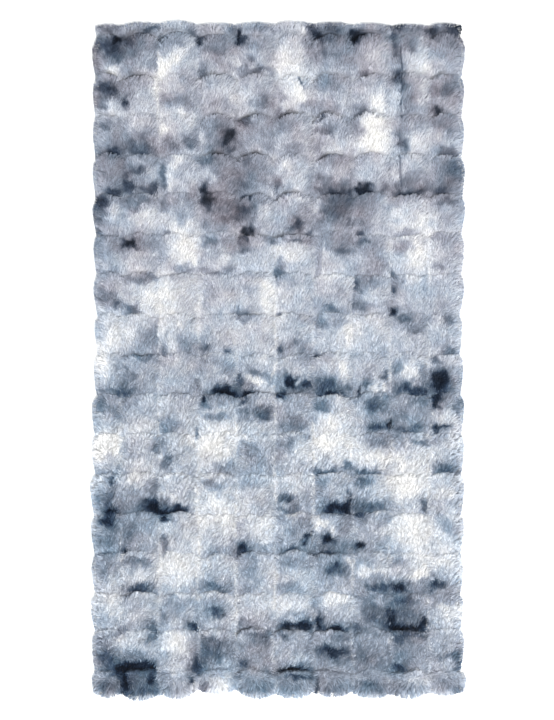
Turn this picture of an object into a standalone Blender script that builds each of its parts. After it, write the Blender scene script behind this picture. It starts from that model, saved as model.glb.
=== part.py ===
"""A shag rug lying flat: one cloth whose long pile stands in a grid of arched tufts.

Metres, +Z up. The origin is the middle of the underside, which rests on the floor at z = 0.
+Y is the head end, the way the pile lies, and +X is the rug's right-hand side seen from above.
The solid reaches to the tips of the pile: crowned tufts above, scalloped edges at the sides.
"""

import math
import random
from collections import namedtuple

import bmesh
import bpy

NODE = "shag_rug"
PILE_COLOUR = (0.41, 0.45, 0.52, 1.0)
PILE_ROUGHNESS = 0.95

# Overall size, to the tips of the pile.
WIDTH = 0.800
LENGTH = 1.450
CROWN = 0.027  # the top of a tuft above the floor
VALLEY = 0.015  # the valleys between the tufts
RIM = 0.008  # the height at which the pile's edge overhangs
SHOULDER = 0.034  # how far in from its edge the rug reaches its full height
UNDERCUT = 0.007  # how far the underside stays inside the overhanging pile

# The grid of tufts. Its first and last columns and rows are cut short by the rug's edges.
COLUMNS = 10
ROWS = 18
FIRST_COLUMN = 0.062
LAST_COLUMN = 0.077
FIRST_ROW = 0.030
LAST_ROW = 0.052
ARCH = 0.017  # how far a tuft's arched head reaches past its two shoulders
LIP = 0.3  # the share of a tuft's length, from its head, at which it is tallest and widest
PARTING = 0.35  # how much of its crown a tuft loses where it meets the next column
UNEVEN = 0.003  # how far a tuft's head strays from its row, either way
SEED = 4

# How far the edge draws in at the valleys between two tufts, past the shorter of the two.
SIDE_SCALLOP = 0.0065
HEAD_SCALLOP = 0.004
FOOT_SCALLOP = 0.007

# How far each row's tufts stay inside the overall width, from head to foot.
RowEdge = namedtuple("RowEdge", "left right")
ROW_EDGES = [
    RowEdge(left=0.010, right=0.008),
    RowEdge(left=0.004, right=0.002),
    RowEdge(left=0.006, right=0.004),
    RowEdge(left=0.006, right=0.004),
    RowEdge(left=0.006, right=0.002),
    RowEdge(left=0.006, right=0.002),
    RowEdge(left=0.008, right=0.004),
    RowEdge(left=0.008, right=0.004),
    RowEdge(left=0.010, right=0.008),
    RowEdge(left=0.008, right=0.006),
    RowEdge(left=0.004, right=0.004),
    RowEdge(left=0.004, right=0.004),
    RowEdge(left=0.000, right=0.004),
    RowEdge(left=0.002, right=0.004),
    RowEdge(left=0.004, right=0.006),
    RowEdge(left=0.002, right=0.006),
    RowEdge(left=0.004, right=0.004),
    RowEdge(left=0.004, right=0.000),
]

# How far each column's tufts stay inside the overall length, from left to right.
ColumnEdge = namedtuple("ColumnEdge", "head foot")
COLUMN_EDGES = [
    ColumnEdge(head=0.008, foot=0.006),
    ColumnEdge(head=0.004, foot=0.000),
    ColumnEdge(head=0.000, foot=0.004),
    ColumnEdge(head=0.006, foot=0.014),
    ColumnEdge(head=0.004, foot=0.004),
    ColumnEdge(head=0.002, foot=0.004),
    ColumnEdge(head=0.004, foot=0.008),
    ColumnEdge(head=0.006, foot=0.004),
    ColumnEdge(head=0.008, foot=0.004),
    ColumnEdge(head=0.006, foot=0.010),
]

# The mesh lines across a column and along a row, as shares of it. The outer ones are closer.
ACROSS_INNER = (0.0, 0.25, 0.5, 0.75)
ACROSS_LEFT = (0.0, 0.1, 0.25, 0.5, 0.75)
ACROSS_RIGHT = (0.0, 0.25, 0.5, 0.75, 0.9)
ALONG_INNER = (0.0, 0.1, LIP, 0.65)
ALONG_HEAD = (0.0, 0.15, LIP, 0.65)
ALONG_FOOT = (0.0, 0.1, LIP, 0.6, 0.85)


def grid_lines(first, last, count, total):
    """Where the columns or rows meet, from 0 to the total, with the first and last cut short."""
    inner = (total - first - last) / (count - 2)
    return [0.0] + [first + inner * k for k in range(count - 1)] + [total]


COLUMN_LINES = [x - WIDTH / 2 for x in grid_lines(FIRST_COLUMN, LAST_COLUMN, COLUMNS, WIDTH)]
ROW_LINES = [LENGTH / 2 - y for y in grid_lines(FIRST_ROW, LAST_ROW, ROWS, LENGTH)]


def stray_heads():
    """How far the head of each tuft strays from its row's line."""
    draw = random.Random(SEED)
    return [[draw.uniform(-UNEVEN, UNEVEN) for _ in range(COLUMNS)] for _ in range(ROWS)]


STRAY = stray_heads()


def across_swell(s):
    """A tuft's swelling across its width: 0 at both sides and 1 in the middle."""
    return 1 - (2 * s - 1) ** 2


def along_swell(t):
    """A tuft's swelling along its length: 0 at its head, 1 at its lip and 0 again at its foot."""
    return math.sin(math.pi * t ** (math.log(0.5) / math.log(LIP)))


def mix(a, b, share):
    return a + (b - a) * share


def scalloped(insets, index, share, swell, scallop):
    """How far in the edge lies beside one tuft, easing to the valley that it shares with the next."""
    neighbour = index - 1 if share < 0.5 else index + 1
    neighbour = min(max(neighbour, 0), len(insets) - 1)
    valley = max(insets[index], insets[neighbour]) + scallop
    return mix(valley, insets[index], swell)


def side_inset(side, row, t):
    insets = [getattr(edge, side) for edge in ROW_EDGES]
    return scalloped(insets, row, t, along_swell(t), SIDE_SCALLOP)


def end_inset(end, column, s):
    scallop = HEAD_SCALLOP if end == "head" else FOOT_SCALLOP
    insets = [getattr(edge, end) for edge in COLUMN_EDGES]
    return scalloped(insets, column, s, across_swell(s), scallop)


def head_line(row, column, s):
    """The arched line where a row's tufts begin. The first row begins at the rug's edge."""
    if row == 0:
        return ROW_LINES[0] - end_inset("head", column, s)
    if row == ROWS:
        return ROW_LINES[ROWS] + end_inset("foot", column, s)
    return ROW_LINES[row] + (ARCH + STRAY[row][column]) * across_swell(s) - ARCH / 2


def place(column, s, row, t):
    """The point above the floor plan at share s of a column and share t of a row."""
    left, right = COLUMN_LINES[column], COLUMN_LINES[column + 1]
    if column == 0:
        left += side_inset("left", row, t)
    if column == COLUMNS - 1:
        right -= side_inset("right", row, t)
    return mix(left, right, s), mix(head_line(row, column, s), head_line(row + 1, column, s), t)


def edge_distance(column, s, row, t):
    """How far a point is from the rug's nearest edge."""
    x, y = place(column, s, row, t)
    return min(
        x - COLUMN_LINES[0] - side_inset("left", row, t),
        COLUMN_LINES[COLUMNS] - side_inset("right", row, t) - x,
        head_line(0, column, s) - y,
        y - head_line(ROWS, column, s),
    )


def height(column, s, row, t):
    """The height of the pile's tips: a crown on each tuft, rolled down at the rug's edge."""
    swell = along_swell(t) * mix(1 - PARTING, 1, across_swell(s))
    crowned = mix(VALLEY, CROWN, swell)
    inward = min(max(edge_distance(column, s, row, t) / SHOULDER, 0), 1)
    return mix(RIM, crowned, math.sqrt(1 - (1 - inward) ** 2))


def stations(count, first, inner, last):
    """Each mesh line as (column or row, share), with the last edge's own line at the end."""
    shares = [first] + [inner] * (count - 2) + [last]
    return [(k, share) for k in range(count) for share in shares[k]] + [(count - 1, 1.0)]


def build_rug():
    """The closed solid: the tufted top as a grid, its rim drawn in to a flat underside."""
    across = stations(COLUMNS, ACROSS_LEFT, ACROSS_INNER, ACROSS_RIGHT)
    along = stations(ROWS, ALONG_HEAD, ALONG_INNER, ALONG_FOOT)
    shape = bmesh.new()
    grid = [
        [
            shape.verts.new((*place(column, s, row, t), height(column, s, row, t)))
            for column, s in across
        ]
        for row, t in along
    ]
    for upper, lower in zip(grid, grid[1:]):
        for k in range(len(across) - 1):
            shape.faces.new((upper[k], lower[k], lower[k + 1], upper[k + 1]))

    rim = [edge for edge in shape.edges if edge.is_boundary]
    drawn = bmesh.ops.extrude_edge_only(shape, edges=rim)["geom"]
    for vertex in (item for item in drawn if isinstance(item, bmesh.types.BMVert)):
        vertex.co.x *= 1 - 2 * UNDERCUT / WIDTH
        vertex.co.y *= 1 - 2 * UNDERCUT / LENGTH
        vertex.co.z = 0.0
    bmesh.ops.contextual_create(shape, geom=[edge for edge in shape.edges if edge.is_boundary])
    bmesh.ops.recalc_face_normals(shape, faces=shape.faces)

    mesh = bpy.data.meshes.new(NODE)
    shape.to_mesh(mesh)
    shape.free()
    mesh.shade_smooth()
    mesh.set_sharp_from_angle(angle=math.radians(50))
    rug = bpy.data.objects.new(NODE, mesh)
    bpy.context.scene.collection.objects.link(rug)
    return rug


def pile_material():
    material = bpy.data.materials.new("pile")
    material.use_nodes = True
    shader = material.node_tree.nodes["Principled BSDF"]
    shader.inputs["Base Color"].default_value = PILE_COLOUR
    shader.inputs["Roughness"].default_value = PILE_ROUGHNESS
    shader.inputs["Metallic"].default_value = 0.0
    return material


def main():
    for leftover in list(bpy.data.objects):
        bpy.data.objects.remove(leftover)
    rug = build_rug()
    rug.data.materials.append(pile_material())


main()
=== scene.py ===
"""The looks of a shag rug that lies flat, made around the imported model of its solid.

Metres, +Z up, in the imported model's frame: +Y is the head end, which the pile lies towards.
The rug is a knitted ground cloth, a dense underwool that stands in a grid of arched tufts, and
four bands of long pile. Each tuft's pile fans out towards the head and laps over the tuft before.

Places are counted in tufts: u columns from the left and v rows from the head. Within a tuft, s is
the share of its width from the left and t the share of its length from its head.
"""

import math
from collections import namedtuple

import bpy
import numpy as np
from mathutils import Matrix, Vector


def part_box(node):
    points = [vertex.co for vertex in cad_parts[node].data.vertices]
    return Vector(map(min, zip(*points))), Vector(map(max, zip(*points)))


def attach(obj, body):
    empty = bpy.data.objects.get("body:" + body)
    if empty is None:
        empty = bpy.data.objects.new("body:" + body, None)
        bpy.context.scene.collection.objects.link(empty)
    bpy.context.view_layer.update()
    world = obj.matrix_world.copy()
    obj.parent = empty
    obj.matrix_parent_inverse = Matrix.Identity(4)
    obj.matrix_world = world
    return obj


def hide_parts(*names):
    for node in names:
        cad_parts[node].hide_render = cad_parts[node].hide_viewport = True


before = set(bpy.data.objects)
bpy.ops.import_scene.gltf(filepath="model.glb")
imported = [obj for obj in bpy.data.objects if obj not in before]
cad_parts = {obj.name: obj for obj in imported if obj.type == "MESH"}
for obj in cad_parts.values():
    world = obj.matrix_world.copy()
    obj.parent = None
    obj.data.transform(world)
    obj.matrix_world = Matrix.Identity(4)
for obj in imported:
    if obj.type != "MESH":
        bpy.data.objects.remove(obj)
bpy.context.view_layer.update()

NODE = "shag_rug"
LOW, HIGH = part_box(NODE)
WIDTH = HIGH.x - LOW.x
LENGTH = HIGH.y - LOW.y
CROWN = HIGH.z

# The grid of tufts, as in the solid. Its first and last columns and rows are cut short.
COLUMNS = 10
ROWS = 18
FIRST_COLUMN = 0.062
LAST_COLUMN = 0.077
FIRST_ROW = 0.030
LAST_ROW = 0.052
LAST_ROWS_UP = [0.000, 0.007, 0.005]  # how far the last three lines between rows lie above an even pitch

# The finer shape of a tuft.
ARCH = 0.022  # how far a tuft's head line falls back at its left side, at the head end of the rug
FLAT_ARCH = 0.012  # the same towards the foot end
LIP = 0.09  # the share of a tuft's length in which its head rises out of the valley
SLOPE = 0.40  # the share of its height that a tuft loses from its head to its foot
DROP = 0.60  # the share that it loses in its last stretch, before the next tuft
DROP_LENGTH = 0.0085
SIDE_LOSS = 0.45  # how much of its crown a tuft loses at its sides
CLOSED_VALLEY = 0.020  # the height of the valley between two rows where the crease is closed
OPEN_VALLEY = 0.013
RIM = 0.009  # the height of the rug's edge
SHOULDER = 0.034  # how far in from its edge the rug reaches its full height
HEAD_REACH = 0.002  # how far a tuft's head reaches past the line between two rows
UNEVEN_HEAD = 0.003
UNEVEN_CROWN = 0.0022
FUZZ = 0.0055  # how far the long pile stands above the underwool

# How far the outline lies inside the solid's box, in mm: beside each row, and at each column's ends.
EDGES = {
    "left": [10, 4, 6, 6, 6, 6, 8, 8, 10, 8, 4, 4, 0, 2, 4, 2, 4, 4],
    "right": [8, 2, 4, 4, 2, 2, 4, 4, 8, 6, 4, 4, 4, 4, 6, 6, 4, 0],
    "head": [8, 4, 0, 6, 4, 2, 4, 6, 8, 6],
    "foot": [6, 0, 4, 14, 4, 4, 8, 4, 4, 10],
}
SCALLOPS = {"left": 0.0065, "right": 0.0065, "head": 0.004, "foot": 0.007}  # its dips between two tufts


def grid_lines(first, last, count, total):
    inner = (total - first - last) / (count - 2)
    return np.array([0.0] + [first + inner * k for k in range(count - 1)] + [total])


COLUMN_LINES = grid_lines(FIRST_COLUMN, LAST_COLUMN, COLUMNS, WIDTH) + LOW.x
DYE_LINES = HIGH.y - grid_lines(FIRST_ROW, LAST_ROW, ROWS, LENGTH)
ROW_LINES = DYE_LINES.copy()
ROW_LINES[-4:-1] += LAST_ROWS_UP

TUFT_DRAW = np.random.default_rng(11)
STRAY = TUFT_DRAW.uniform(-UNEVEN_HEAD, UNEVEN_HEAD, (ROWS + 1, COLUMNS))
TUFT_CROWN = TUFT_DRAW.uniform(-UNEVEN_CROWN, 0, (ROWS, COLUMNS))
TUFT_TURN = TUFT_DRAW.normal(0, 1, (ROWS, COLUMNS))
TUFT_SHIFT = TUFT_DRAW.uniform(-1, 1, (ROWS, COLUMNS, 2))
CELLS = 256  # after so many, the random grids repeat


def tufts_across(x):
    return np.interp(x, COLUMN_LINES, np.arange(COLUMNS + 1))


def tufts_down(y, lines):
    return np.interp(-y, -lines, np.arange(ROWS + 1))


def mix(a, b, share):
    return a + (b - a) * share


def smooth(value, start, end):
    """A soft step from 0 at the start to 1 at the end."""
    share = np.clip((value - start) / (end - start), 0, 1)
    return share * share * (3 - 2 * share)


def cloud(x, y, size, seed):
    """Smooth random hills and hollows about so wide, from -1 to 1."""
    draw = np.random.default_rng(seed)
    heights = draw.uniform(-1, 1, (CELLS, CELLS))
    turn = draw.uniform(0, math.pi)
    far_off = 1000.0  # keeps the cells' numbers above 0
    a = (x * math.cos(turn) - y * math.sin(turn)) / size + far_off
    b = (x * math.sin(turn) + y * math.cos(turn)) / size + far_off
    i, j = np.floor(a).astype(int), np.floor(b).astype(int)
    p, q = a - i, b - j
    p, q = p * p * (3 - 2 * p), q * q * (3 - 2 * q)
    near = mix(heights[i % CELLS, j % CELLS], heights[(i + 1) % CELLS, j % CELLS], p)
    far = mix(heights[i % CELLS, (j + 1) % CELLS], heights[(i + 1) % CELLS, (j + 1) % CELLS], p)
    return mix(near, far, q)


def clouded(base, x, y, *layers):
    """The base with clouds added to it: for each layer its height, its size and its seed."""
    for height, size, seed in layers:
        base = base + height * cloud(x, y, size, seed)
    return base


def across_swell(s):
    """1 in a tuft's middle, and 0 at its sides."""
    return 1 - np.abs(2 * s - 1) ** 2.3


def along_swell(t):
    """0 at a tuft's head and foot, and 1 where it is widest."""
    widest = 0.3
    return np.sin(math.pi * t ** (math.log(0.5) / math.log(widest)))


def inset(edge, index, share):
    """How far in the outline is at a share along a tuft at that edge, which swells between two dips."""
    values = np.array(EDGES[edge]) / 1000
    neighbour = np.clip(np.where(share < 0.5, index - 1, index + 1), 0, len(values) - 1)
    valley = np.maximum(values[index], values[neighbour]) + SCALLOPS[edge]
    swell = across_swell(share) if edge in ("head", "foot") else along_swell(share)
    return mix(valley, values[index], swell)


def head_line(row, column, s):
    """The y of a tuft's arched, ragged head."""
    x = mix(COLUMN_LINES[column], COLUMN_LINES[column + 1], s)
    low = smooth(row, 5, 6.2)
    ragged = clouded(0, x, ROW_LINES[row], (0.0024, 0.022, 71), (0.0018, 0.009, 72)) * mix(1, 1.7, low)
    arch = mix(ARCH, FLAT_ARCH, low) * mix(1, 0.6, s) + STRAY[row, column]
    inner = ROW_LINES[row] - arch * (1 - across_swell(s)) + HEAD_REACH + ragged
    line = np.where(row == 0, ROW_LINES[0] - inset("head", column, s), inner)
    return np.where(row == ROWS, ROW_LINES[ROWS] + inset("foot", column, s), line)


# How open the crease is above each tuft, from 0 to 9: a line for each row but the first.
CREASES = """
    7664016724
    6605425435
    2006776624
    3207825444
    3202353444
    0000550000
    0110000100
    1100220000
    0400112000
    0012321210
    0000010000
    3100001100
    4120001200
    1101233000
    0311101000
    2102455251
    1600283141
""".split()
CREASE_CHART = np.zeros((ROWS + 1, COLUMNS))
CREASE_CHART[1:ROWS] = [[int(mark) / 9 for mark in line] for line in CREASES]


def crease_depth(x, y, row, column, s, t):
    """How open the nearer crease is, above the tuft or below it: most at a tuft's left shoulder."""
    depth = mix(CREASE_CHART[row, column], CREASE_CHART[row + 1, column], smooth(t, 0.3, 0.7))
    luck = clouded(1.15, x, y, (0.45, 0.018, 10), (0.30, 0.008, 15))
    return np.clip(depth * luck, 0, 1) * mix(1.0, 0.35, smooth(s, 0.45, 0.95))


def row_length(row):
    return ROW_LINES[row] - ROW_LINES[row + 1]


Spot = namedtuple("Spot", "v column row s t x y side foot inward height")


def spot(u, v):
    """Everything about the places at u columns across and v rows down."""
    column = np.clip(np.floor(u), 0, COLUMNS - 1).astype(int)
    row = np.clip(np.floor(v), 0, ROWS - 1).astype(int)
    s, t = u - column, v - row
    left, right = inset("left", row, t), inset("right", row, t)
    start = COLUMN_LINES[column] + np.where(column == 0, left, 0)
    end = COLUMN_LINES[column + 1] - np.where(column == COLUMNS - 1, right, 0)
    x = mix(start, end, s)
    y = mix(head_line(row, column, s), head_line(row + 1, column, s), t)
    head = head_line(np.zeros_like(row), column, s) - y
    foot = y - head_line(np.full_like(row, ROWS), column, s)
    side = np.minimum(x - COLUMN_LINES[0] - left, COLUMN_LINES[-1] - right - x)
    inward = np.minimum(side, np.minimum(head, foot))
    loose = 0.0035 * smooth(inward, 0.0, 0.03)
    x, y = x + loose * cloud(x, y, 0.055, 81), y + loose * cloud(x, y, 0.055, 82)

    rise = np.sqrt(1 - (1 - np.clip(t / LIP, 0, 1)) ** 2)
    before_next = (1 - t) * row_length(row)
    slope = SLOPE * np.clip((t - LIP) / (1 - LIP), 0, 1) ** 1.3
    fall = 1 - slope - DROP * (1 - smooth(before_next, 0.0, DROP_LENGTH))
    bulge = 1 - SIDE_LOSS * np.abs(2 * s - 1) ** 5
    crown = CROWN - 0.001 + TUFT_CROWN[row, column]
    valley = mix(CLOSED_VALLEY, OPEN_VALLEY, crease_depth(x, y, row, column, s, t))
    ruffle = mix(0.0007, 0.0022, smooth(v, 4, 12))
    height = mix(valley, crown, rise * fall * bulge)
    height = clouded(height, x, y, (ruffle, 0.022, 5), (0.5 * ruffle, 0.011, 6))
    rolled = np.clip(inward / SHOULDER, 0, 1)
    height = mix(RIM, height, np.sqrt(1 - (1 - rolled) ** 2))
    return Spot(v, column, row, s, t, x, y, side, foot, inward, np.minimum(height, CROWN))


# ---- dye

WASH_STRENGTH = 0.9
BLOT_CORE = 0.76
BLOT_RIM = 0.90  # where the core is half gone, as a share of the blot's size
BLOT_SHARPNESS = 5.5
BLOT_HALO = 0.20
HALO_REACH = 1.45
NEXT_COLUMN = 0.12  # how much farther off a blot seems, in tufts, from the next column's pile
NEXT_ROW = 0.15
COLUMN_LINE = 0.20  # how much lighter the pile is between two columns
PARTING_SHARE = 0.55

# The dye's colour at each tone: two palettes, steel blue and a warmer lavender grey.
Shade = namedtuple("Shade", "tone red green blue")
COOL = [Shade(*shade) for shade in [
    (0.00, 0.01, 0.04, 0.09), (0.20, 0.08, 0.14, 0.22), (0.33, 0.25, 0.32, 0.41),
    (0.42, 0.355, 0.435, 0.51), (0.53, 0.482, 0.555, 0.628), (0.64, 0.606, 0.668, 0.738),
    (0.74, 0.719, 0.766, 0.820), (0.86, 0.844, 0.867, 0.899), (1.00, 0.939, 0.94, 0.944),
]]
WARM = [Shade(*shade) for shade in [
    (0.00, 0.03, 0.03, 0.05), (0.20, 0.16, 0.17, 0.20), (0.33, 0.33, 0.33, 0.37),
    (0.42, 0.44, 0.43, 0.47), (0.53, 0.562, 0.556, 0.599), (0.64, 0.674, 0.672, 0.711),
    (0.74, 0.774, 0.772, 0.80), (0.86, 0.873, 0.868, 0.875), (1.00, 0.95, 0.942, 0.93),
]]

# The dye's stains, charted. Places and sizes are in hundredths of a tuft's width and length,
# tones in hundredths from navy at 0 to white at 100, and turns in degrees.
Stain = namedtuple("Stain", "column row wide long tone turn", defaults=[0])

# The soaked areas: broad and soft, under the smaller blots.
WASHES = [Stain(*wash) for wash in [
    (80,120,170,110,40), (390,100,220,60,54), (650,110,190,100,45), (910,110,200,80,50), (60,230,100,90,51),
    (910,260,130,140,53), (360,360,130,110,49), (90,430,190,180,46), (410,480,80,160,46),
    (360,520,200,80,48,-12), (670,495,200,75,39), (650,560,180,110,50), (910,485,190,55,46),
    (110,615,140,70,52), (730,690,100,150,55), (860,790,160,60,60), (170,880,90,70,60), (300,890,90,70,60),
    (590,890,130,70,57), (90,990,120,110,54,20), (360,988,180,60,43), (570,980,180,60,46),
    (540,1060,100,80,54), (930,980,100,80,33), (830,1050,170,110,46), (440,1160,130,80,62),
    (70,1290,110,180,46), (185,1288,140,50,36), (670,1280,140,90,42), (420,1390,100,80,52),
    (650,1400,210,100,48), (830,1500,180,90,46), (830,1570,140,120,34), (640,1620,210,130,50),
    (440,1640,240,120,56), (300,1660,110,100,40), (120,1702,180,110,31), (580,1700,240,70,46),
    (810,1680,220,120,50), (210,200,90,140,81,20), (200,280,160,90,73), (400,240,110,90,77),
    (540,200,90,170,89), (770,335,100,170,88), (890,160,80,90,77), (870,380,90,90,76), (250,450,80,90,73),
    (550,430,130,130,73), (190,560,160,60,77), (260,620,90,110,86), (850,620,140,170,88),
    (220,760,180,120,92), (480,750,100,150,87), (450,850,150,70,80), (600,690,220,90,74), (50,860,90,120,88),
    (690,850,110,110,83), (230,940,80,70,73), (340,1110,170,110,90,25), (650,1100,160,110,91),
    (850,1190,110,130,91), (40,1130,90,100,95), (350,1280,110,90,90), (460,1320,90,60,83),
    (860,1350,120,130,94), (250,1430,120,100,91), (500,1490,110,120,75), (240,1630,80,90,80),
    (980,1370,60,220,80), (970,1540,60,160,80), (20,1500,50,160,73), (330,1760,90,70,86), (360,50,280,60,59),
    (690,50,220,60,55), (830,40,100,60,57), (980,60,60,90,46), (40,40,120,60,57), (128,170,90,90,57),
    (265,190,80,100,64), (520,310,90,60,53), (710,300,50,70,62), (825,350,50,80,57), (650,395,120,35,57),
    (115,570,60,50,62), (600,520,50,50,65), (620,625,70,40,55), (960,660,80,90,62), (940,740,90,70,73),
    (120,1135,60,50,60), (820,1120,90,60,58), (970,1200,60,110,68), (810,1380,50,50,64), (30,1420,80,80,54),
    (960,1500,90,50,60), (340,1530,70,50,56), (260,1570,60,50,55), (30,1620,80,70,49), (720,1590,80,40,48),
    (410,1735,120,70,50), (120,1760,90,60,40), (660,1755,120,70,44), (790,1755,120,70,46),
]]
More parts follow.
